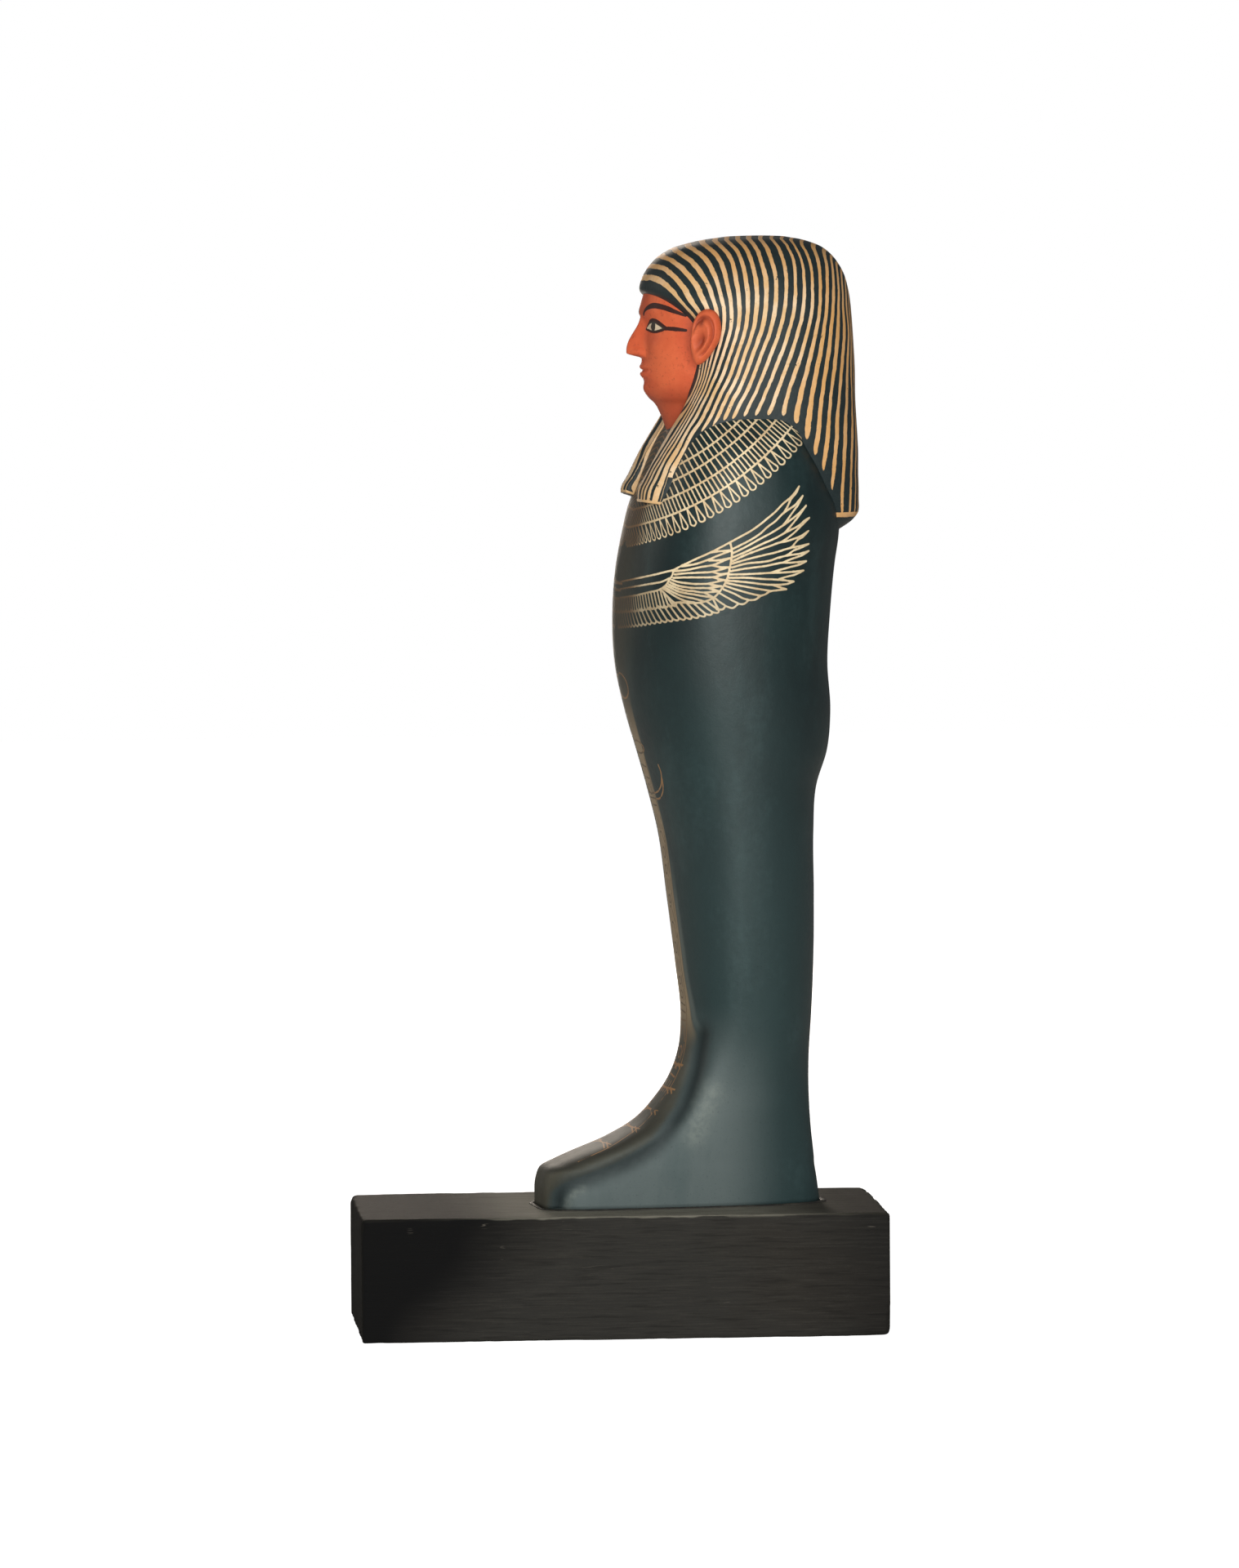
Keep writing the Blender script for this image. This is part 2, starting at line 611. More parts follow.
sideStrokes = wingStrokes()
lineDots = np.concatenate(sideStrokes + [mirrored(s) for s in sideStrokes])
markDots = np.concatenate(columnStrokes() + motifStrokes())
refine(bodyPiece, np.concatenate((lineDots, markDots)), bodyTruth)
for name, dots in (("line", lineDots), ("mark", markDots)):
    setAttribute(bodyPiece, name, nearest(dots, verts(bodyPiece), 6) - body["lineWidth"] / 2)
collarFields(bodyPiece)
bodyOwn = inFigure(verts(bodyPiece))
setAttribute(bodyPiece, "tall", bodyOwn[:, 2] / 1000)
setAttribute(bodyPiece, "fore", -bodyOwn[:, 1] / 100)
browned = np.abs(bodyOwn[:, 0]) - np.interp(bodyOwn[:, 2], *zip(*column["browned"]))
seen = toPixels(inWorld(np.c_[np.abs(bodyOwn[:, 0]), bodyOwn[:, 1:]]))
ahead = seen[:, 0] + column["bandGap"] - np.interp(seen[:, 1], *np.array(groove["line"]).T[::-1])
browned = browned + (ahead - browned) * ease((column["footTop"] - bodyOwn[:, 2]) / column["footEase"])
setAttribute(bodyPiece, "browned", np.where(bodyOwn[:, 1] < 0, browned, 50) / 10)
pressGroove(bodyPiece)
bodyTree = treeOf(bodyPiece)
print("painted lines:", len(lineDots) + len(markDots), "dots, body", len(bodyPiece.data.polygons), "faces")


wig = {
    "rows": (
        (694, -92.5, 40, 118, 80, 5.0, 2.9), (709, -92.5, 40, 139, 88, 6.0, 2.9),
        (714, -92.5, 40, 142.5, 90, 6.4, 2.9), (728, -92.5, 40, 143, 91.5, 6.6, 2.9),
        (740, -93, 40, 143, 93, 6.6, 2.9), (752, -86.5, 40, 142.8, 95, 6.2, 2.8),
        (777, -74, 40, 142.5, 99, 5.4, 2.8), (800, -61, 41, 141.5, 102.5, 4.4, 2.7),
        (834, -42.5, 42, 140, 104, 3.8, 2.6), (862, -38.5, 42, 140.3, 103, 3.4, 2.5),
        (894, -37.5, 42, 138.8, 101.5, 3.4, 2.5), (912, -45, 40, 137.8, 100, 3.6, 2.5),
        (926, -57, 38, 136.8, 98.5, 3.8, 2.5), (937, -70, 36, 135.6, 97, 3.2, 2.5),
        (944.5, -78.5, 34, 134.3, 95.5, 2.6, 2.5), (957, -76, 33, 131.3, 91.5, 2.5, 2.5),
        (973, -66, 35, 123.3, 82.5, 2.45, 2.45), (985.5, -50, 38, 111.8, 69, 2.4, 2.4),
        (994, -23, 41, 93.8, 52, 2.3, 2.3), (999.2, 10, 42, 69.8, 24, 2.2, 2.2),
    ),
    "rowSpacing": 5, "sides": 30, "voxel": 0.0011, "dome": 0.9, "ease": 0.0004,
    # The gap between the lappets, their rounding towards it, and the throat that the wig leaves free
    "gap": 30, "roundFrom": 54, "roundTop": 850, "roundBack": ((722, 0.6), (775, 4.2), (800, 5.0)),
    "throat": 836, "throatBack": 20,
    "lappetEnd": 735.5, "nearDrop": 8.0, "lappetFront": -92.5, "endSlope": 0.34, "nearSlope": 0.17,
    "hem": 709.5, "hemScale": 1.75,  # behind: its height, and how much taller its line is there
    # The light stripes by number, from the forehead back, as (x, y) in the picture
    "stripes": {
        0: ((790, 338), (801, 340), (826, 360), (843, 380)),
        2: ((810, 312), (824, 320), (845, 340), (858, 360), (867, 380)),
        4: ((842, 300), (866, 320), (876, 340), (882, 360), (886, 400), (876, 440)),
        6: ((876, 295), (896, 320), (901, 340), (905, 370), (904, 400), (892, 440)),
        8: ((903, 293), (910, 300), (920, 320), (925, 340), (926, 380), (910, 440), (893, 480), (874, 520)),
        10: ((931, 292), (937, 300), (945, 320), (950, 340), (949, 380), (930, 440), (914, 480), (900, 508)),
        12: ((957, 293), (963, 300), (972, 320), (974, 350), (972, 380), (954, 440), (938, 480), (927, 505)),
        14: ((981, 297), (983, 302), (991, 320), (995, 350), (994, 380), (979, 440), (966, 480), (958, 510)),
        16: ((1009, 308), (1012, 322), (1013, 350), (1012, 380), (1003, 440), (995, 480), (989, 525)),
        18: ((1024, 325), (1027, 360), (1026, 400), (1023, 440), (1018, 480), (1014, 530), (1010, 560)),
        20: ((1037, 382), (1039, 400), (1038, 440), (1037, 480), (1035, 520), (1034, 560), (1031, 610), (1031, 625)),
        21: ((1042, 440), (1043, 480), (1044, 520), (1043, 560), (1042, 600)),
    },
    # Where the stripes cross the middle of the head, from above by x and from behind by y in the picture
    "middleTop": (
        (788, 0), (808, 2), (840, 4), (874, 6), (901, 8), (930, 10),
        (956, 12), (980, 14), (1010, 16), (1025, 18), (1035, 19),
    ),
    "middleBack": (
        (345, 20.3), (360, 22), (376, 24), (392, 26), (410, 27.6), (430, 28),
        (480, 28), (530, 28), (580, 28), (603, 28), (620, 28),
    ),
    "overHead": (-76, 130, 3), "downBack": (955, 700, -4),  # where the middle is looked at: from, to and step
    "backStripe": (27.5, 0.85, 9),  # from this number on, so much less this far out: the stripes run straight down
    # The dark band over the forehead, with its number
    "band": ((790, 355), (801, 358), (814, 362), (831, 374.5), (845, 389)), "bandNumber": -0.95,
    # Across a lappet: the height in the picture, then x for each stripe from number 2
    "lappet": (
        (465, (861, 864, 867.5, 874, 883)), (493, (848.5, 851.5, 855, 861, 869.5)),
        (512, (838.5, 841, 844.5, 851.5, 860.5)), (531, (826.5, 829.5, 833.5, 839.5, 847.5)),
        (560, (808, 811.5, 815.5, 823, 834.5)), (580, (796.5, 799.5, 805.5, 813.5, 822.5)),
        (594, (789.5, 793, 798.5, 808)), (611, (785.5, 788.5, 793.5, 802)),
    ),
    "wallStripe": 12, "frontStripe": 17, "throatLevel": 500,
}


def modified(obj, kind, **settings):
    justThis(obj)
    bpy.ops.object.modifier_add(type=kind)
    modifier = obj.modifiers[-1]
    for key, value in settings.items():
        setattr(modifier, key, value)
    bpy.ops.object.modifier_apply(modifier=modifier.name)


def cutBox(obj, low, high, slope):
    # A box in the figure's own thousandths is cut away, its top falling towards the back
    box = newMesh("cutter", bpy.ops.mesh.primitive_cube_add, size=1)
    co = np.array(low) + (verts(box) + 0.5) * (np.array(high) - np.array(low))
    top = co[:, 2] > (low[2] + high[2]) / 2
    co[top, 2] -= slope * (co[top, 1] - wig["lappetFront"])
    setVerts(box, inWorld(co))
    modified(obj, "BOOLEAN", operation="DIFFERENCE", solver="EXACT", object=box)
    bpy.data.objects.remove(box)


def setBack(x, z):
    # The lappets' inner edges are rounded away towards the gap between them
    inner = ease((wig["roundFrom"] - np.abs(x)) / (wig["roundFrom"] - wig["gap"]))
    return inner * ease((wig["roundTop"] - z) / 20) * np.interp(z, *zip(*wig["roundBack"]))


def trueFront(obj, rows):
    # The remeshed fronts of the lappets are put back on the drawn surface
    own = inFigure(verts(obj))
    x, y, z = np.abs(own[:, 0]), own[:, 1], own[:, 2]
    front, middle, half, power = (np.interp(z, rows[:, 0], rows[:, i]) for i in (1, 2, 4, 5))
    truth = middle - (middle - front) * np.clip(1 - (x / half) ** power, 0, 1) ** (1 / power) + setBack(x, z)
    close = (z < wig["roundTop"]) & (x > wig["gap"] + 2) & (x < half * 0.95) & (np.abs(y - truth) < 1.5)
    own[close, 1] = truth[close]
    setVerts(obj, inWorld(own))


def makeWig():
    rows = smoothRows(wig["rows"], wig["rowSpacing"])
    height, front, middle, rear, half, frontPower, backPower = rows[-1]
    crown = []
    for t in np.linspace(0, 1, 9)[1:]:  # the crown closes in a low dome
        s = 1 - t * 0.999
        top, ahead, behind = height + wig["dome"] * (1 - s * s), (front - middle) * s, (rear - middle) * s
        crown.append((top, middle + ahead, middle, middle + behind, half * s, frontPower, backPower))
    grid = sections(np.vstack((rows, crown)), wig["sides"], wig["sides"])
    grid[..., 1] += setBack(grid[..., 0], grid[..., 2]) * (grid[..., 1] < 0)
    obj = rolled("wig", grid)
    gap, end, outside, ahead, below = wig["gap"], wig["lappetEnd"], 160, -220, 600
    cutBox(obj, (-gap, ahead, below), (gap, wig["throatBack"], wig["throat"]), 0)
    cutBox(obj, (-outside, ahead, below), (0, 0, end), wig["endSlope"])
    cutBox(obj, (0, ahead, below), (outside, 0, end - wig["nearDrop"]), wig["nearSlope"])
    obj.data.remesh_voxel_size = wig["voxel"]
    bpy.ops.object.voxel_remesh()
    modified(obj, "SMOOTH", factor=0.5, iterations=6)
    trueFront(obj, rows)
    obj.data.shade_smooth()
    return obj


def onWig(tree, start, way):
    return inFigure(np.array(meets(tree, start, way))[None])[0]


def stripeMarks(tree):
    # Places on the wig where the number of the stripe is known: number, x, y, z
    marks = []
    for number, pixels in (*wig["stripes"].items(), (wig["bandNumber"], wig["band"])):
        marks += [(number, *spot) for spot in inFigure(ontoSurface(tree, pixels))]
    gap, apart = wig["gap"], wig["frontStripe"]
    for level, places in wig["lappet"]:
        found = []
        for number, x in enumerate(places, 2):
            spots = inFigure(ontoSurface(tree, [(x, level)]))
            found += [(number, *spot) for spot in spots if spot[0] > wig["roundFrom"] - 4]
        marks += found
        if level > wig["throatLevel"]:
            # Unseen from here: the stripes go on inwards across the front, a set distance apart
            number, side, _, height = found[0]
            for x in np.arange(side - apart, gap - 4, -apart / 2):
                _, y, z = onWig(tree, (max(x, gap + 1), -300, height), (0, 1, 0))
                marks.append((number - (side - x) / apart, x, y, z))
    backFrom, less, out = wig["backStripe"]
    for spots, side, crossings in (
        ([onWig(tree, (0, y, 1100), (0, 0, -1)) for y in range(*wig["overHead"])], 0, wig["middleTop"]),
        ([onWig(tree, (0, 300, z), (0, -1, 0)) for z in range(*wig["downBack"])], 1, wig["middleBack"]),
    ):
        seen = toPixels(inWorld(np.array(spots)))[:, side]
        for place, number in crossings:
            x, y, z = (np.interp(place, seen, values) for values in np.array(spots).T)
            marks += [(number, x, y, z), (number - less * (number > backFrom), x + out, y, z)]
    return np.array(marks, dtype=float)


def stripeField(tree, points):
    # One smooth number over the wig that is whole on each light stripe: a plate bent through the marks
    marks = stripeMarks(tree)
    values, marks = marks[:, 0], marks[:, 1:] / 100
    marks[:, 0] = np.abs(marks[:, 0])
    count = len(marks)
    apart = np.linalg.norm(marks[:, None] - marks[None], axis=2) ** 3 + np.eye(count) * wig["ease"]
    plane = np.c_[np.ones(count), marks]
    system = np.block([[apart, plane], [plane.T, np.zeros((4, 4))]])
    weights = np.linalg.solve(system, np.concatenate((values, np.zeros(4))))
    points = points / 100
    out = weights[count] + points @ weights[count + 1 :]
    for mark, weight in zip(marks, weights):
        out += weight * np.linalg.norm(points - mark, axis=1) ** 3
    return out


wigPiece = makeWig()
wigOwn = inFigure(verts(wigPiece))
sided = np.c_[np.abs(wigOwn[:, 0]), wigOwn[:, 1:]]
# On the inner walls of the lappets the stripes are counted back from the front edge
inward = (sided[:, 0] < wig["gap"] + 1.5) & (sided[:, 1] < wig["throatBack"] + 2) & (sided[:, 2] < wig["throat"] + 2)
heights, fronts = np.array(wig["rows"], dtype=float).T[:2]
sided[inward, 0], sided[inward, 1] = wig["gap"], np.interp(sided[inward, 2], heights, fronts)
stripe = stripeField(treeOf(wigPiece), sided)
stripe[inward] -= (wigOwn[inward, 1] - sided[inward, 1]) / wig["wallStripe"]
above = wigOwn[:, 2] > wig["throat"] - 4
stripe[above] = np.maximum(stripe[above], -0.5)
behindFront = wigOwn[:, 1] - wig["lappetFront"]
fall = np.where(wigOwn[:, 0] > 0, wig["nearDrop"] + wig["nearSlope"] * behindFront, wig["endSlope"] * behindFront)
onLappet, overBack = wigOwn[:, 2] - (wig["lappetEnd"] - fall), (wigOwn[:, 2] - wig["hem"]) / wig["hemScale"]
hem = np.where(wigOwn[:, 1] < wig["throatBack"], onLappet, overBack) * unit * 1000
setAttribute(wigPiece, "stripe", stripe)
# In mm: how far off the body, and how far above the hem
setAttribute(wigPiece, "edge", [min(9, bodyTree.find_nearest(v.co)[3] * 1000) for v in wigPiece.data.vertices])
setAttribute(wigPiece, "hem", np.clip(hem, -5, 60))
setAttribute(wigPiece, "tall", wigOwn[:, 2] / 1000)
print("wig:", len(wigPiece.data.polygons), "faces")


face = {
    "rows": (
        (780, -48, 0, 40, 44, 2.1, 2.0), (810, -57, 0, 40, 43, 2.1, 2.0), (827, -65, 0, 40, 46, 2.1, 2.0),
        (834, -71, 0, 40, 52, 2.2, 2.0), (842, -74, 0, 40, 58, 2.25, 2.0), (853, -75.2, 0, 40, 63, 2.3, 2.0),
        (868, -76.2, 0, 40, 67, 2.35, 2.0), (886, -77.5, 0, 40, 70.5, 2.4, 2.0),
        (907, -78.5, 0, 40, 72.5, 2.4, 2.0), (930, -78, 0, 40, 72, 2.4, 2.0), (955, -70, 0, 40, 67, 2.4, 2.0),
    ),
    "fineness": 1.0, "frontSides": 110, "backSides": 8,
    # Textbook heights in thousandths
    "brow": 921, "noseTip": 882.5, "noseBase": 876, "noseRise": 16.5, "noseRoot": 1.5, "noseHalf": 5.0,
    # Soft swellings: how far out, place across, height, width, tallness
    "swellings": (
        (4.0, 10.5, 881, 4.5, 5.0), (2.4, 28, 921, 24, 6.5), (-6.5, 30, 907.5, 19, 10), (6.0, 32, 907, 14, 6.5),
        (2.2, 37, 884, 17, 14), (3.2, 0, 862, 23, 12), (2.4, 0, 865.8, 15.5, 3.2), (2.6, 0, 857.6, 13, 3.6),
        (-1.6, 0, 862, 18, 1.6), (-1.2, 0, 851, 14, 3.6), (3.2, 0, 842, 14, 8),
    ),
    # Fine carving: lids, the line between the lips, the groove above it, the mouth's corners, the nose's wings
    "lidMiddle": 31, "lidHeights": (912.6, 901.8), "lips": 861.6, "lipGroove": 870.5,
    "mouthCorner": (20.5, 862), "noseWing": (10.8, 880),
    # Painted lines, in degrees round the head and thousandths up, then half their width in mm along them
    "lines": {
        "brow": (
            ((8, 919.5), (15, 925.5), (25, 928.5), (37, 926.5), (47, 922), (55, 918)),
            ((0, 0.3, 0.7, 1), (0.9, 1.7, 1.4, 0.7)),
        ),
        "upperLid": (
            ((9.5, 904.5), (14, 909.5), (20, 912.8), (27, 912.4), (33, 909), (38, 905)),
            ((0, 0.5, 1), (0.8, 1.4, 1.1)),
        ),
        "lowerLid": (
            ((9.5, 904.5), (15, 903), (21, 901.8), (27, 901.6), (33, 903), (38, 905)),
            ((0, 1), (0.7, 0.9)),
        ),
        "cosmetic": (((38, 905), (44, 904.6), (50, 903.8), (55, 903)), ((0, 0.5, 1), (1.1, 1.2, 0.8))),
    },
    "eyeEnds": (9.5, 38), "pupil": (23.5, 907.2), "pupilSize": 2.7,
}


def faceRelief(x, z):
    # How far the calm, symmetric face stands out from the plain front of the head
    down = ease((face["brow"] - z) / (face["brow"] - face["noseTip"]))
    nose = (face["noseRoot"] + face["noseRise"] * down) * ease((z - face["noseBase"] + 2.5) / 6.5)
    relief = nose * ease((face["brow"] + 4 - z) / 12) * bell(x, face["noseHalf"] * (1 + down))
    for rise, across, height, wide, tall in face["swellings"]:
        relief = relief + rise * bell(x - across, wide) * bell(z - height, tall)
    return relief


def fineRelief(x, z):
    # The lids and lips, the groove above them, the corners of the mouth and the wings of the nose
    aside = x - face["lidMiddle"]
    upper, lower = face["lidHeights"]
    upper, lower = upper - 0.030 * aside**2 + 0.02 * aside, lower + 0.017 * aside**2
    fine = 0.9 * ease((50 - x) / 5) * ease((x - 12) / 5) * (bell(z - upper, 1.3) + 0.6 * bell(z - lower, 1.2))
    fine = fine - 1.1 * bell(z - face["lips"] - 0.004 * x**2, 0.8) * ease((20 - x) / 7)
    fine = fine - 0.9 * bell(x, 3) * bell(z - face["lipGroove"], 3.2)
    cornerX, cornerZ = face["mouthCorner"]
    fine = fine - bell(x - cornerX, 2.2) * bell(z - cornerZ, 2.2)
    wingX, wingZ = face["noseWing"]
    return fine - 0.8 * bell(np.hypot((x - wingX) / 4.6, (z - wingZ) / 4.8) - 1.25, 0.22) * ease((x - 8) / 3)


def makeHead():
    rows = smoothRows(face["rows"], face["fineness"])
    grid = sections(rows, face["frontSides"], face["backSides"])
    for (_, front, middle, _, _, power, _), line in zip(rows, grid):
        out = np.clip((middle - line[:, 1]) / (middle - front), 0, 1) ** (power / 2)
        x, z = np.abs(line[:, 0]), line[:, 2]
        line[:, 1] -= (faceRelief(x, z) + fineRelief(x, z)) * ease(out / 0.35)
    return rolled("head", grid)


headPiece = makeHead()
headTree = treeOf(headPiece)


def headSpot(degrees, z):
    a = math.radians(degrees)
    x, y = math.sin(a), -math.cos(a)
    return meets(headTree, (x * 500, y * 500, z), (-x, -y, 0))


def lineField(name):
    # Distance in mm to a painted line on either side of the face, which thins out along its length
    points, taper = face["lines"][name]
    dots = np.array([headSpot(a, z) for a, z in curveThrough(points, 0.5)])
    tree = KDTree(len(dots) * 2)
    for i, dot in enumerate(np.concatenate((dots, mirrored(dots)))):
        tree.insert(dot, i)
    tree.balance()
    out = []
    for v in headPiece.data.vertices:
        spot, i, far = tree.find(v.co)
        out.append(min(8, far * 1000 - np.interp((i % len(dots)) / len(dots), *taper)))
    return out


headOwn = inFigure(verts(headPiece))
around = np.degrees(np.arctan2(np.abs(headOwn[:, 0]), -headOwn[:, 1]))
over, under = (np.interp(around, *zip(*face["lines"][name][0])) - headOwn[:, 2] for name in ("upperLid", "lowerLid"))
inEye = np.minimum.reduce((over, -under, around - face["eyeEnds"][0], face["eyeEnds"][1] - around))
pupilSpot = np.array([headSpot(*face["pupil"])])
pupilFar = nearest(np.concatenate((pupilSpot, mirrored(pupilSpot))), verts(headPiece), 20)
setAttribute(headPiece, "brow", lineField("brow"))
setAttribute(headPiece, "lid", np.minimum.reduce([lineField(name) for name in ("upperLid", "lowerLid", "cosmetic")]))
setAttribute(headPiece, "eyeball", np.clip(inEye, -4, 4))
setAttribute(headPiece, "pupil", np.minimum(8, pupilFar - face["pupilSize"]))
setAttribute(headPiece, "tall", headOwn[:, 2] / 1000)
print("head:", len(headPiece.data.polygons), "faces")


ear = {
    "place": (90, -29, 896), "size": (10, 15.6, 29), "lean": 38, "tilt": 7,
    "widening": (0.2, 0.33), "slant": (0.06, 0.34),  # above and below its middle
    # On the round start, back and up from its middle: place, size, and how far it stands out or is pressed in
    "shapes": {
        "hollow": ((-0.08, -0.16), (0.32, 0.30), -7.0), "upper": ((-0.25, 0.52), (0.22, 0.16), -3.2),
        "tragus": ((-0.70, -0.10), (0.15, 0.20), 2.0), "lobe": ((-0.05, -0.66), (0.4, 0.16), 1.2),
    },
    # Rings round its middle: radius, width, how far out
    "rimGroove": (0.70, 0.085, -3.2), "fold": (0.50, 0.10, 1.2),
}


def makeEar(name, side):
    # A round start with its middle facing outwards: flattened, narrowed to the lobe, its rim and hollows pressed in
    obj = newMesh(name, bpy.ops.mesh.primitive_uv_sphere_add, segments=80, ring_count=64, radius=1)
    a, t, out = verts(obj).T
    thick, deep, tall = ear["size"]
    far, facing = np.hypot(a, t), ease(out / 0.3)
    rims = []
    for (radius, wide, rise), within in (
        (ear["rimGroove"], ease((a + t + 0.75) / 0.7)),
        (ear["fold"], ease((a + 0.3) / 0.5)),
    ):
        rims.append((bell(far - radius, wide) * within, rise))
    shapes = {
        key: (bell(a - place[0], size[0]) * bell(t - place[1], size[1]), rise)
        for key, (place, size, rise) in ear["shapes"].items()
    }
    x = np.sign(out) * thick * np.clip(1 - far**3.2, 0, 1) ** 0.5
    x = x + facing * sum(shape * rise for shape, rise in (*rims, *shapes.values()))
    widening, slant = (np.where(t > 0, *ear[key]) for key in ("widening", "slant"))
    y = deep * (a * (1 + widening * t) + slant * t)
    z = t * tall
    lean, tilt = math.radians(ear["lean"]), math.radians(ear["tilt"])
    y, z = y * math.cos(tilt) + z * math.sin(tilt), z * math.cos(tilt) - y * math.sin(tilt)
    x, y = x * math.cos(lean) + y * math.sin(lean), y * math.cos(lean) - x * math.sin(lean)
    setVerts(obj, inWorld(np.c_[side * (ear["place"][0] + x), ear["place"][1] + y, ear["place"][2] + z]))
    dents = 0.8 * rims[0][0] + shapes["hollow"][0] + shapes["upper"][0]
    setAttribute(obj, "hollow", np.clip(facing * dents, 0, 1))
    return settled(obj)


earPieces = [makeEar("earNear", 1), makeEar("earFar", -1)]
print("ears made")


block = {
    "size": (0.150, 0.2925, 0.0684), "voxel": 0.0014, "wear": (0.0008, 0.0026), "wornLumps": (60, 190),
    # Knocks at edges and corners: place on the block, in metres, radius, and how much is gone
    "knocks": (
        ((-0.075, -0.14625, 0.0684), 0.020, 0.0030), ((0.075, 0.14625, 0.0), 0.016, 0.0028),
        ((0.075, -0.14625, 0.0684), 0.010, 0.0020), ((0.075, -0.04, 0.0684), 0.008, 0.0010),
        ((0.075, 0.08, 0.0), 0.012, 0.0012), ((-0.075, 0.14625, 0.0684), 0.012, 0.0018),
    ),
}


def makeBlock():
    size = np.array(block["size"])
    half, middle = size / 2, np.array((0, 0, size[2] / 2))
    place = {"location": (0, 0, block["size"][2] / 2), "scale": block["size"]}
    obj = newMesh("block", bpy.ops.mesh.primitive_cube_add, size=1, **place)
    bpy.ops.object.transform_apply(location=True, rotation=True, scale=True)
    obj.data.remesh_voxel_size = block["voxel"]
    bpy.ops.object.voxel_remesh()
    own = np.clip(verts(obj) - middle, -half, half)
    (low, high), (big, small) = block["wear"], block["wornLumps"]
    wobble = np.array([noise.noise(Vector(p) * big) + 0.5 * noise.noise(Vector(p) * small) for p in own])
    radius = low + (high - low) * ease(0.5 + 0.9 * wobble)
    for place, reach, gone in block["knocks"]:
        far = np.linalg.norm(own - (np.array(place) - middle), axis=1)
        radius = radius + gone * ease(1.3 - far / reach)
    radius = radius[:, None]
    past = np.maximum(np.abs(own) - (half - radius), 0)
    far = np.linalg.norm(past, axis=1)[:, None]
    pulled = np.minimum(np.abs(own), half - radius) + past * np.minimum(1, radius / np.maximum(far, 1e-9))
    setVerts(obj, np.sign(own) * pulled + middle)
    return settled(obj)


ridge = {
    "height": 0.0009, "width": 0.0024, "heelWidth": 0.0034, "gap": 0.0003, "around": 420, "across": 12,
    "lumps": 170, "lumpiness": 0.15, "toeDrop": 0.4,
}


def makeRidge():
    # A lip of gesso round the sole, widest behind the heel
    start = {"major_segments": ridge["around"], "minor_segments": ridge["across"]}
    obj = newMesh("ridge", bpy.ops.mesh.primitive_torus_add, major_radius=1, minor_radius=0.25, **start)
    x, y, z = verts(obj).T
    sole = inWorld(sections(np.array(body["rows"][:1], dtype=float), 200, 200)[0])[:, :2]
    run = runAlong(sole)
    at = (np.arctan2(y, x) % (2 * math.pi)) / (2 * math.pi) * run[-1]
    lift = np.arctan2(z, np.hypot(x, y) - 1)

    def onSole(at):
        return np.c_[tuple(np.interp(at % run[-1], run, side) for side in sole.T)]

    spot, way = onSole(at), onSole(at + 0.001) - onSole(at - 0.001)
    outward = np.c_[way[:, 1], -way[:, 0]] / np.linalg.norm(way, axis=1)[:, None]
    outward *= np.sign(((spot - sole.mean(axis=0)) * outward).sum(axis=1))[:, None]
    heel, toe = np.clip(outward[:, 1], 0, 1) ** 2, np.clip(-outward[:, 1], 0, 1)
    lumps = np.array([noise.noise(Vector((p[0], p[1], 0)) * ridge["lumps"]) for p in spot])
    rough = 1 + ridge["lumpiness"] * lumps
    width = (ridge["width"] + (ridge["heelWidth"] - ridge["width"]) * heel) * rough
    height = ridge["height"] * rough * np.clip(np.sin(lift) + 0.25, -0.6, 1) * (1 - ridge["toeDrop"] * toe)
    out = ridge["gap"] + width * (0.5 + 0.5 * np.cos(lift)) * np.where(np.sin(lift) > 0, 0.9, 1)
    setVerts(obj, np.c_[spot + outward * out[:, None], block["size"][2] + height])
    return settled(obj)


blockPiece, ridgePiece = makeBlock(), makeRidge()
print("block and ridge:", len(blockPiece.data.polygons), "faces")


def tone(red, green, blue):
    # A colour as a painter reads it, 0 to 255, for Blender
    parts = (c / 255 for c in (red, green, blue))
    return *(c / 12.92 if c <= 0.04045 else ((c + 0.055) / 1.055) ** 2.4 for c in parts), 1.0


class Wire:
    # One socket that can be reckoned with
    def __init__(self, finish, socket):
        self.finish, self.socket = finish, socket

    def reckon(self, operation, *values):
        return self.finish.node("ShaderNodeMath", {"operation": operation}, dict(enumerate(values)))

    def __add__(self, other):
        return self.reckon("ADD", self, other)

    def __sub__(self, other):
        return self.reckon("SUBTRACT", self, other)

    def __rsub__(self, other):
        return self.reckon("SUBTRACT", other, self)

    def __mul__(self, other):
        return self.reckon("MULTIPLY", self, other)

    def __truediv__(self, other):
        return self.reckon("DIVIDE", self, other)

    __radd__, __rmul__ = __add__, __mul__

    def least(self, other):
        return self.reckon("MINIMUM", self, other)

    def most(self, other):
        return self.reckon("MAXIMUM", self, other)

    def size(self):
        return self.reckon("ABSOLUTE", self)

    def root(self):
        return self.reckon("SQRT", self)

    def offMiddle(self, apart=1.0):
        # How far past the middle of its own step, where a step comes every so often
        return (self.reckon("FRACT", self / apart) - 0.5) * apart

    def step(self, low, high):
        # From 0 at low to 1 at high, softly
        return self.finish.node("ShaderNodeMapRange", {"interpolation_type": "SMOOTHSTEP"}, {0: self, 1: low, 2: high})


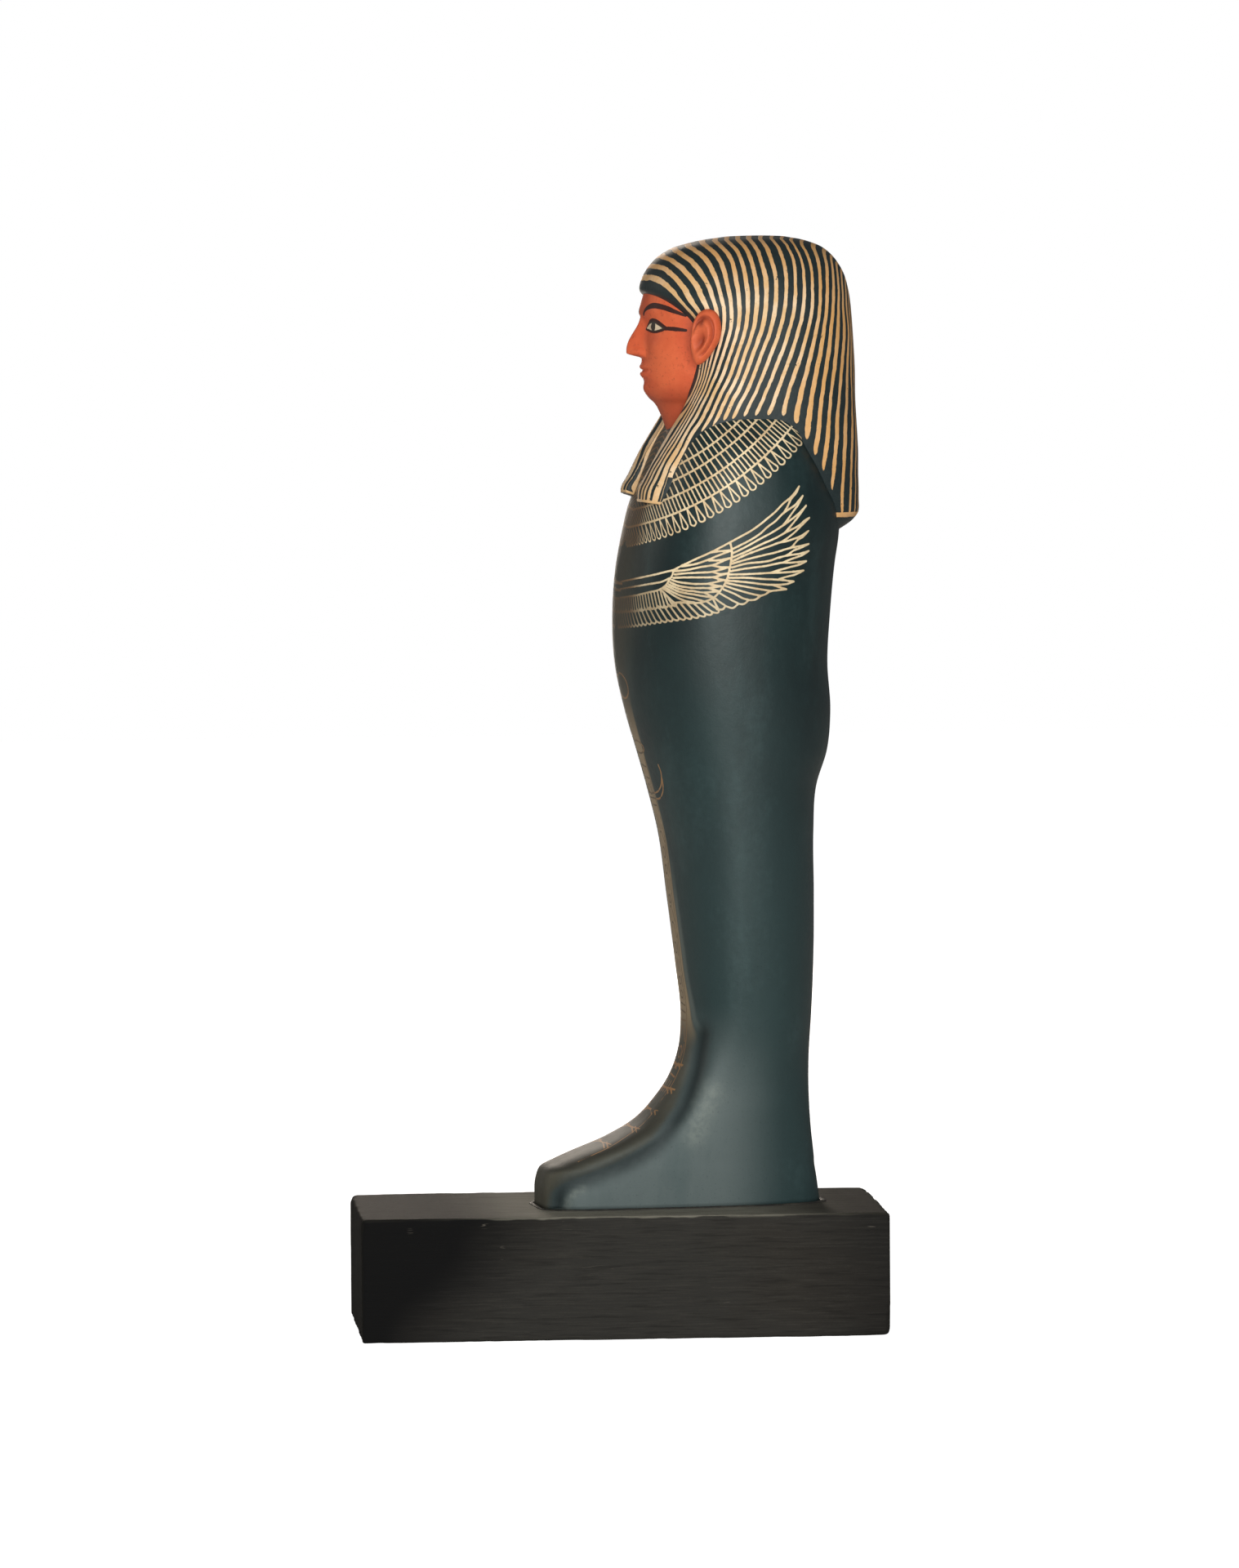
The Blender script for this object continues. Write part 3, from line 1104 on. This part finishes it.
class Finish:
    def __init__(self, name):
        self.material = bpy.data.materials.new(name)
        self.material.use_nodes = True
        self.tree = self.material.node_tree
        self.shader = self.tree.nodes["Principled BSDF"]
        self.place = self.node("ShaderNodeTexCoord", {}, {}, "Object")

    def node(self, kind, settings, sockets, out=0):
        made = self.tree.nodes.new(kind)
        for key, value in settings.items():
            setattr(made, key, value)
        for key, value in sockets.items():
            self.feed(made.inputs[key], value)
        return Wire(self, made.outputs[out])

    def feed(self, socket, value):
        if isinstance(value, Wire):
            self.tree.links.new(value.socket, socket)
        else:
            socket.default_value = value

    def attribute(self, name):
        return self.node("ShaderNodeAttribute", {"attribute_name": name}, {}, "Fac")

    def along(self, vector, axis):
        return self.node("ShaderNodeSeparateXYZ", {}, {"Vector": vector}, axis)

    def facing(self, axis):
        return self.along(self.node("ShaderNodeNewGeometry", {}, {}, "Normal"), axis)

    def cloud(self, scale, detail=3.0, rough=0.55, stretch=(1, 1, 1), shift=0.0):
        # Noise whose lumps are about 1 / scale metres across
        shifts = (shift, shift * 0.7, shift * 1.3)
        where = self.node("ShaderNodeMapping", {}, {"Vector": self.place, "Scale": stretch, "Location": shifts})
        look = {"Vector": where, "Scale": scale, "Detail": detail, "Roughness": rough}
        return self.node("ShaderNodeTexNoise", {}, look)

    def clouds(self, paint, *names):
        return (self.cloud(*paint["clouds"][name]) for name in names)

    def blend(self, mask, one, two):
        # From one colour to the other where the mask is 1; a colour is a wire or red, green and blue
        one, two = (color if isinstance(color, Wire) else tone(*color) for color in (one, two))
        return self.node("ShaderNodeMix", {"data_type": "RGBA"}, {0: mask, 6: one, 7: two}, 2)

    def coats(self, color, paint, *coats):
        # Coats of paint over a colour, each where its mask is 1
        for mask, name in coats:
            color = self.blend(mask, color, paint[name])
        return color

    def finish(self, color, roughness, height, depth, shine, tint=(1, 1, 1, 1)):
        bumps = self.node("ShaderNodeBump", {}, {"Strength": 1.0, "Distance": depth, "Height": height})
        for name, value in (
            ("Base Color", color), ("Roughness", roughness), ("Normal", bumps),
            ("Specular IOR Level", shine), ("Specular Tint", tint),
        ):
            self.feed(self.shader.inputs[name], value)
        return self.material


def zonesOf(wires, zones):
    # Soft masks by name, each from 0 to 1 between two values of its field
    return {name: wires[field].step(*ends) for field, names in zones.items() for name, ends in names.items()}


def collarMask(f, wobble):
    # Signed distance in mm to the nearest line of the collar
    out, around = f.attribute("collarOut") + wobble * 0.5, f.attribute("collarAround") + wobble * 0.4
    far = None
    for ring in collar["rings"]:
        line = (out - ring).size() - collar["ringHalf"]
        far = line if far is None else far.least(line)
    for low, high, apart in collar["ticks"]:
        within = (out - (low + high) / 2).size() - (high - low) / 2
        far = far.least((around.offMiddle(apart).size() - collar["tickHalf"]).most(within))
    # A drop is a ball with a pointed cone that starts at the last ring
    side, radius, start = around.offMiddle(collar["dropWidth"]).size(), collar["dropRadius"], collar["rings"][-1]
    centre = collar["dropEnd"] - radius
    lean = math.asin(radius / (centre - start))
    ball = (side * side + (out - centre) * (out - centre)).root() - radius
    cone = (side * math.cos(lean) - (out - start) * math.sin(lean)).most(out - (centre - radius * math.sin(lean)))
    drop = (ball.least(cone).size() - collar["dropHalf"]).most(start - out)
    return far.least(drop)


bodyPaint = {
    "dark": (16, 28, 30), "green": (23, 43, 44), "light": (54, 75, 76), "foot": (95, 106, 105),
    "sheen": (138, 146, 138), "shin": (186, 160, 122), "sole": (40, 38, 32), "brown": (84, 76, 58),
    "line": (250, 228, 186), "oldLine": (222, 194, 150), "mark": (176, 130, 84), "darkMark": (84, 68, 48),
    "bump": 0.0012, "shine": 0.5, "shineTint": (0.88, 1.0, 0.98, 1), "lineEdge": 0.14,
    # Patterns of noise: lumps in a metre, detail, roughness, how each way is squeezed, shift
    "clouds": {
        "big": (16, 4, 0.6, (1, 1, 0.6)), "streak": (40, 4, 0.6, (1, 1, 0.35), 3.0), "fine": (260, 3, 0.6),
        "speck": (900, 2, 0.6), "worn": (70, 5, 0.7, (1, 1, 1), 5), "wobble": (420, 2),
    },
    # Where each look begins and where it is full: by height, by place forwards, by distance past the browned strip
    "zones": {
        "tall": {
            "legs": (0.66, 0.3), "foot": (0.22, 0.10), "chest": (0.50, 0.56), "shinTop": (0.54, 0.46),
            "shinEnd": (0.16, 0.21), "lowShin": (0.38, 0.30), "instep": (0.17, 0.11), "underWings": (0.66, 0.62),
            "bySole": (0.2, 0.08),
        },
        "fore": {"footFront": (-0.6, 0.2), "toes": (1.5, 1.9), "front": (0.5, 1.1)},
        "browned": {
            "strip": (0.3, -0.8), "wideStrip": (3.0, -4.5), "tan": (0.5, -0.1), "beside": (1.7, 0.9),
            "clear": (0.1, 0.6), "tinted": (2.0, -1.5), "faded": (2.0, -2.0),
        },
    },
}


def bodyFinish():
    f, paint = Finish("varnishedBody"), bodyPaint
    edge = paint["lineEdge"]
    big, streak, fine, speck, worn, wobble = f.clouds(paint, "big", "streak", "fine", "speck", "worn", "wobble")
    wobble = wobble - 0.5
    zone = zonesOf({name: f.attribute(name) for name in paint["zones"]}, paint["zones"])
    # Dark varnish, paler down the legs and on the foot
    color = f.blend(big.step(0.3, 0.7), paint["dark"], paint["green"])
    paler = (streak + fine * 0.3).step(0.62, 1.0) + zone["legs"]
    foot = zone["foot"] * zone["footFront"] * (1 - zone["toes"] * 0.4) * (1 - streak.step(0.5, 0.8) * 0.4)
    # The browned strip up the front, fainter and wider on the chest, and tan on the shin
    shin = zone["shinTop"] * zone["shinEnd"]
    strip = zone["strip"] * (1 - zone["chest"]) + zone["wideStrip"] * zone["chest"] * 0.8
    tan = zone["tan"] * shin
    rubbed = 0.6 + fine * 0.3
    color = f.coats(
        color, paint,
        (paler * 0.45, "light"),
        (foot * 0.85, "foot"),
        (strip * rubbed, "brown"),
        (f.facing("Z").step(0.35, 0.85) * strip * zone["instep"] * 0.6, "sole"),
        (tan * rubbed, "shin"),
        (zone["beside"] * zone["clear"] * shin * zone["lowShin"] * 0.35, "sheen"),
        (f.attribute("groove") * 0.95, "dark"),
        (f.attribute("sheen") * (fine.step(0.3, 0.7) * 0.3 + 0.2), "sheen"),
        (speck.step(0.62, 0.76) * 0.35, "dark"),
    )
    # The drawn lines, worn and, near the front and under the wings, fainter; then the signs
    line = f.attribute("line").least(collarMask(f, wobble))
    lineMask = (line + wobble * 0.3 + worn.step(0.62, 0.85) * 0.4).step(edge, -edge)
    gold = f.blend(worn.step(0.35, 0.65), paint["oldLine"], paint["line"])
    gold = f.blend(zone["tinted"], gold, paint["mark"])
    fainter = zone["underWings"] * (zone["front"] * 0.3 + 0.27)
    color = f.blend(lineMask * (1 - zone["faded"] * 0.45) * (1 - fainter), color, gold)
    mark = (f.attribute("mark") + wobble * 0.4 + worn.step(0.5, 0.7) * 0.5).step(edge, -edge)
    color = f.blend(mark * 0.9, color, f.blend(tan, paint["mark"], paint["darkMark"]))
    height = big * 0.4 + streak * 0.2 + fine * 0.07 + lineMask * 0.05 + speck * 0.03
    roughness = 0.46 - streak * 0.08 + fine * 0.12 + zone["bySole"] * 0.14
    return f.finish(color, roughness, height, paint["bump"], paint["shine"], paint["shineTint"])


wigPaint = {
    "dark": (22, 34, 37), "worn": (44, 56, 56),
    "gold": (236, 194, 138), "cream": (248, 218, 178), "ochre": (228, 166, 92), "crumb": (188, 146, 92),
    "stripeHalf": 0.25, "bump": 0.0010, "shine": 0.35,
    "clouds": {
        "wobble": (150, 3), "fineWobble": (600, 2), "blotch": (60, 4, 0.65), "crumb": (420, 3, 0.65),
        "chips": (260, 4, 0.7, (1, 1, 1), 4),
    },
    # By height, by the number of the stripe, and by how far above the hem
    "zones": {
        "tall": {
            "crown": (0.91, 0.98), "crownTop": (0.93, 0.98), "belowEar": (0.88, 0.83), "overShoulder": (0.80, 0.83),
            "shoulder": (0.81, 0.77), "lappets": (0.80, 0.74),
        },
        "stripe": {
            "upFront": (4.3, 5.3), "front": (11.5, 8.5), "pastEar": (9, 11), "beforeBack": (16, 14),
            "rear": (12, 17), "hind": (14, 17), "back": (16, 18), "rounded": (8, 14), "fromShort": (5.6, 5.7),
            "toShort": (7.4, 7.3),
        },
        "low": {"overHem": (1.4, 1.6), "shortEnd": (16.5, 16.1)},
    },
}


def wigFinish():
    f, paint = Finish("stripedWig"), wigPaint
    wobble, fineWobble, blotch, crumb = f.clouds(paint, "wobble", "fineWobble", "blotch", "crumb")
    wobble, fineWobble = wobble - 0.5, fineWobble - 0.5
    edge, hem, tall = (f.attribute(name) for name in ("edge", "hem", "tall"))
    stripe = f.attribute("stripe") + wobble * 0.22
    zone = zonesOf({"tall": tall, "stripe": stripe, "low": hem + wobble}, paint["zones"])
    # Half a stripe's width: thinner on the crown and towards the back, wider on the lappets
    half = paint["stripeHalf"] - zone["crown"] * 0.035 - zone["belowEar"] * 0.03
    half = half - zone["lappets"] * zone["hind"] * 0.07 - zone["pastEar"] * zone["beforeBack"] * 0.05
    half = half - zone["belowEar"] * zone["back"] * zone["overShoulder"] * 0.05
    half = half + zone["front"] * (zone["belowEar"] * 0.045 + zone["shoulder"] * zone["upFront"] * 0.13)
    # Away from the lappets the stripes end rounded, short of the shoulder
    free = edge + (5.7 - stripe).most(0) * 20 + wobble * 1.2
    short = ((zone["rounded"] * 1.6 + 2.6 - free) / 2.2).most(0).least(1.5) * half
    near = (stripe + 0.5).offMiddle()
    ink = ((near * near + short * short).root() - half + fineWobble * 0.03).step(0.018, -0.018)
    # The dark line above the hem, the stripe that stops short of it, and the light line along it
    ink = ink * zone["overHem"] * (1 - zone["fromShort"] * zone["toShort"] * zone["shortEnd"])
    ink = ink.most(((hem - 0.85).size() - 0.75 + wobble * 0.5).step(0.12, -0.12))
    gold = f.coats(
        f.blend(blotch.step(0.38, 0.62), paint["gold"], paint["cream"]), paint,
        ((zone["crownTop"] + zone["rear"]).least(1.0) * 0.7, "ochre"),
        (crumb.step(0.55, 0.8) * 0.35, "crumb"),
    )
    (chips,) = f.clouds(paint, "chips")
    color = f.blend(ink * (1 - chips.step(0.66, 0.70)), f.blend(crumb, paint["dark"], paint["worn"]), gold)
    height = blotch * 0.4 + crumb * 0.12 + ink * 0.10
    return f.finish(color, 0.52 - blotch * 0.1 + crumb * 0.1, height, paint["bump"], paint["shine"])


skinPaint = {
    "skin": (216, 96, 58), "light": (228, 110, 68), "shade": (156, 70, 46), "black": (24, 24, 26),
    "white": (226, 205, 172), "bump": 0.0007, "shine": 0.3, "underChin": (0.856, 0.828),
    "clouds": {
        "blotch": (55, 4, 0.6), "crumb": (500, 3, 0.65), "smudge": (34, 4, 0.7, (1, 1, 1), 6), "wobble": (700, 2),
    },
}


def skinFinish(painted):
    f, paint = Finish("redSkin" if painted else "redEars"), skinPaint
    blotch, crumb = f.clouds(paint, "blotch", "crumb")
    color = f.blend(blotch.step(0.35, 0.68), paint["skin"], paint["light"])
    coats = [(crumb.step(0.55, 0.75) * 0.5, "shade")]
    if painted:
        smudge, wobble = f.clouds(paint, "smudge", "wobble")
        wobble, eyeball = wobble - 0.5, f.attribute("eyeball")
        below = f.attribute("tall").step(*paint["underChin"])
        black = f.attribute("brow").least(f.attribute("lid")).least(f.attribute("pupil").most(0.4 - eyeball))
        coats += [
            ((below * 0.55).most(smudge.step(0.52, 0.75) * 0.35), "shade"),
            ((eyeball + wobble * 0.4).step(0.2, 0.7), "white"),
            ((black + wobble * 0.35).step(0.1, -0.1) * 0.95, "black"),
        ]
    else:
        coats.append((f.attribute("hollow") * 0.95, "shade"))
    color = f.coats(color, paint, *coats)
    return f.finish(color, 0.5 + crumb * 0.12, blotch * 0.3 + crumb * 0.12, paint["bump"], paint["shine"])


blockPaint = {
    "left": (22, 22, 22), "side": (53, 52, 49), "top": (58, 56, 50), "nearFoot": (138, 135, 122),
    "light": (66, 64, 59), "brown": (50, 45, 39), "scratch": (104, 99, 90), "grain": (24, 24, 23),
    "bump": 0.0006, "shine": 0.03,
    "clouds": {
        "brush": (1300, 4, 0.6, (1, 0.04, 1)), "grain": (520, 3, 0.6, (1, 0.06, 1), 4),
        "blotch": (14, 3, 0.6, (1, 0.5, 1), 2), "crumb": (700, 3, 0.65),
        "lines": (260, 1, 0.4, (1, 0.05, 1), 7), "patches": (60, 2, 0.5, (1, 1, 1), 9),
    },
    # In metres along the block: the dark left end, the worn right end, and the top beyond and beside the foot
    "litFrom": (-0.145, -0.072), "rightEnd": (0.08, 0.15), "footPlace": 0.01, "footNear": (0.125, 0.05),
    "topEnd": (-0.05, -0.10),
}


def blockFinish():
    f, paint = Finish("blackenedBlock"), blockPaint
    place, height = f.along(f.place, "Y"), f.along(f.place, "Z")
    brush, grain, blotch, crumb = f.clouds(paint, "brush", "grain", "blotch", "crumb")
    lines, patches = f.clouds(paint, "lines", "patches")
    lit = (place - height * 0.9 + (blotch - 0.5) * 0.05).step(*paint["litFrom"])
    lit = lit * (1 - place.step(*paint["rightEnd"]) * 0.6)
    side = f.blend(lit, paint["left"], paint["side"])
    top = f.blend((place - paint["footPlace"]).size().step(*paint["footNear"]), paint["top"], paint["nearFoot"])
    top = f.blend(place.step(*paint["topEnd"]) * 0.7, top, paint["left"])
    color = f.coats(
        f.blend(f.facing("Z").step(0.3, 0.8), side, top), paint,
        (f.facing("Y").size().step(0.5, 0.8) * 0.2, "top"),
        (blotch.step(0.42, 0.68) * 0.4 * lit, "brown"),
        ((brush + crumb * 0.25).step(0.55, 0.9) * 0.6 * lit, "light"),
        (grain.step(0.50, 0.68) * 0.35, "grain"),
        ((lines - 0.5).size().step(0.008, 0.0) * patches.step(0.66, 0.72) * 0.6, "scratch"),
    )
    rough = brush * 0.35 + grain * 0.35 + blotch * 0.3 + crumb * 0.10
    return f.finish(color, 0.66 + crumb * 0.12, rough, paint["bump"], paint["shine"])


lipPaint = {
    "dark": (40, 39, 35), "light": (60, 58, 51), "crumb": (26, 26, 24), "bump": 0.0008, "shine": 0.3,
    "clouds": {"blotch": (90, 4, 0.6), "crumb": (700, 3, 0.65)},
}


def gessoFinish():
    f, paint = Finish("darkLip"), lipPaint
    blotch, crumb = f.clouds(paint, "blotch", "crumb")
    color = f.blend(blotch.step(0.35, 0.65), paint["dark"], paint["light"])
    color = f.coats(color, paint, (crumb.step(0.55, 0.7) * 0.5, "crumb"))
    return f.finish(color, 0.6 + crumb * 0.1, blotch * 0.4 + crumb * 0.3, paint["bump"], paint["shine"])


bodyPiece.data.materials.append(bodyFinish())
wigPiece.data.materials.append(wigFinish())
headPiece.data.materials.append(skinFinish(True))
for piece in earPieces:
    piece.data.materials.append(skinFinish(False))
blockPiece.data.materials.append(blockFinish())
ridgePiece.data.materials.append(gessoFinish())
print("materials done")


for piece in (bodyPiece, wigPiece, headPiece, *earPieces):
    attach(piece, "root")
    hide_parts("figure")
for piece in (blockPiece, ridgePiece):
    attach(piece, "root")
    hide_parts("base")


studio = {
    "floor": (232, 230, 226), "floorSize": 14, "floorRoughness": 0.9, "floorShine": 0.1, "floorGlow": 0.92,
    "air": 0.14, "airColor": (0.95, 0.97, 1.0, 1), "backdrop": 1.0, "aim": (0, 0, 0.3),
    # Place, size, power, colour
    "key": ((2.8, -0.1, 0.8), (1.5, 1.2), 62, (1.0, 0.99, 0.98)),
    "warm": ((-2.9, -0.12, 0.9), (0.4, 1.6), 24, (1.0, 0.88, 0.76)),
    "front": ((-1.0, -2.8, 1.3), (1.2, 1.2), 9, (1.0, 0.93, 0.84)),
}


def plainFloor():
    # A pale floor, which the camera alone sees glow
    floor = newMesh("floor", bpy.ops.mesh.primitive_plane_add, size=studio["floorSize"])
    look = Finish("paleFloor")
    glow = look.blend(look.node("ShaderNodeLightPath", {}, {}, "Is Camera Ray"), (0, 0, 0), (255, 255, 255))
    for name, value in (
        ("Base Color", tone(*studio["floor"])), ("Roughness", studio["floorRoughness"]),
        ("Specular IOR Level", studio["floorShine"]),
        ("Emission Color", glow), ("Emission Strength", studio["floorGlow"]),
    ):
        look.feed(look.shader.inputs[name], value)
    floor.data.materials.append(look.material)


def softLight(name):
    place, size, power, color = studio[name]
    light = bpy.data.lights.new(name, "AREA")
    light.shape, light.size, light.size_y = "RECTANGLE", size[0], size[1]
    light.energy, light.color = power, color
    obj = bpy.data.objects.new(name, light)
    bpy.context.scene.collection.objects.link(obj)
    obj.location = place
    obj.rotation_euler = (Vector(studio["aim"]) - Vector(place)).to_track_quat("-Z", "Y").to_euler()


def paleAir():
    # The pale air round the object: soft on it, brighter behind it
    world = bpy.data.worlds.new("pale")
    bpy.context.scene.world = world
    world.use_nodes = True
    nodes, links = world.node_tree.nodes, world.node_tree.links
    soft, behind = nodes["Background"], nodes.new("ShaderNodeBackground")
    rays, either = nodes.new("ShaderNodeLightPath"), nodes.new("ShaderNodeMixShader")
    for air, color, strength in ((soft, studio["airColor"], studio["air"]), (behind, (1, 1, 1, 1), studio["backdrop"])):
        air.inputs["Color"].default_value = color
        air.inputs["Strength"].default_value = strength
    links.new(rays.outputs["Is Camera Ray"], either.inputs[0])
    links.new(soft.outputs[0], either.inputs[1])
    links.new(behind.outputs[0], either.inputs[2])
    links.new(either.outputs[0], nodes["World Output"].inputs[0])


plainFloor()
paleAir()
for name in ("key", "warm", "front"):
    softLight(name)
bpy.context.scene.view_settings.view_transform = "Standard"
print("done")
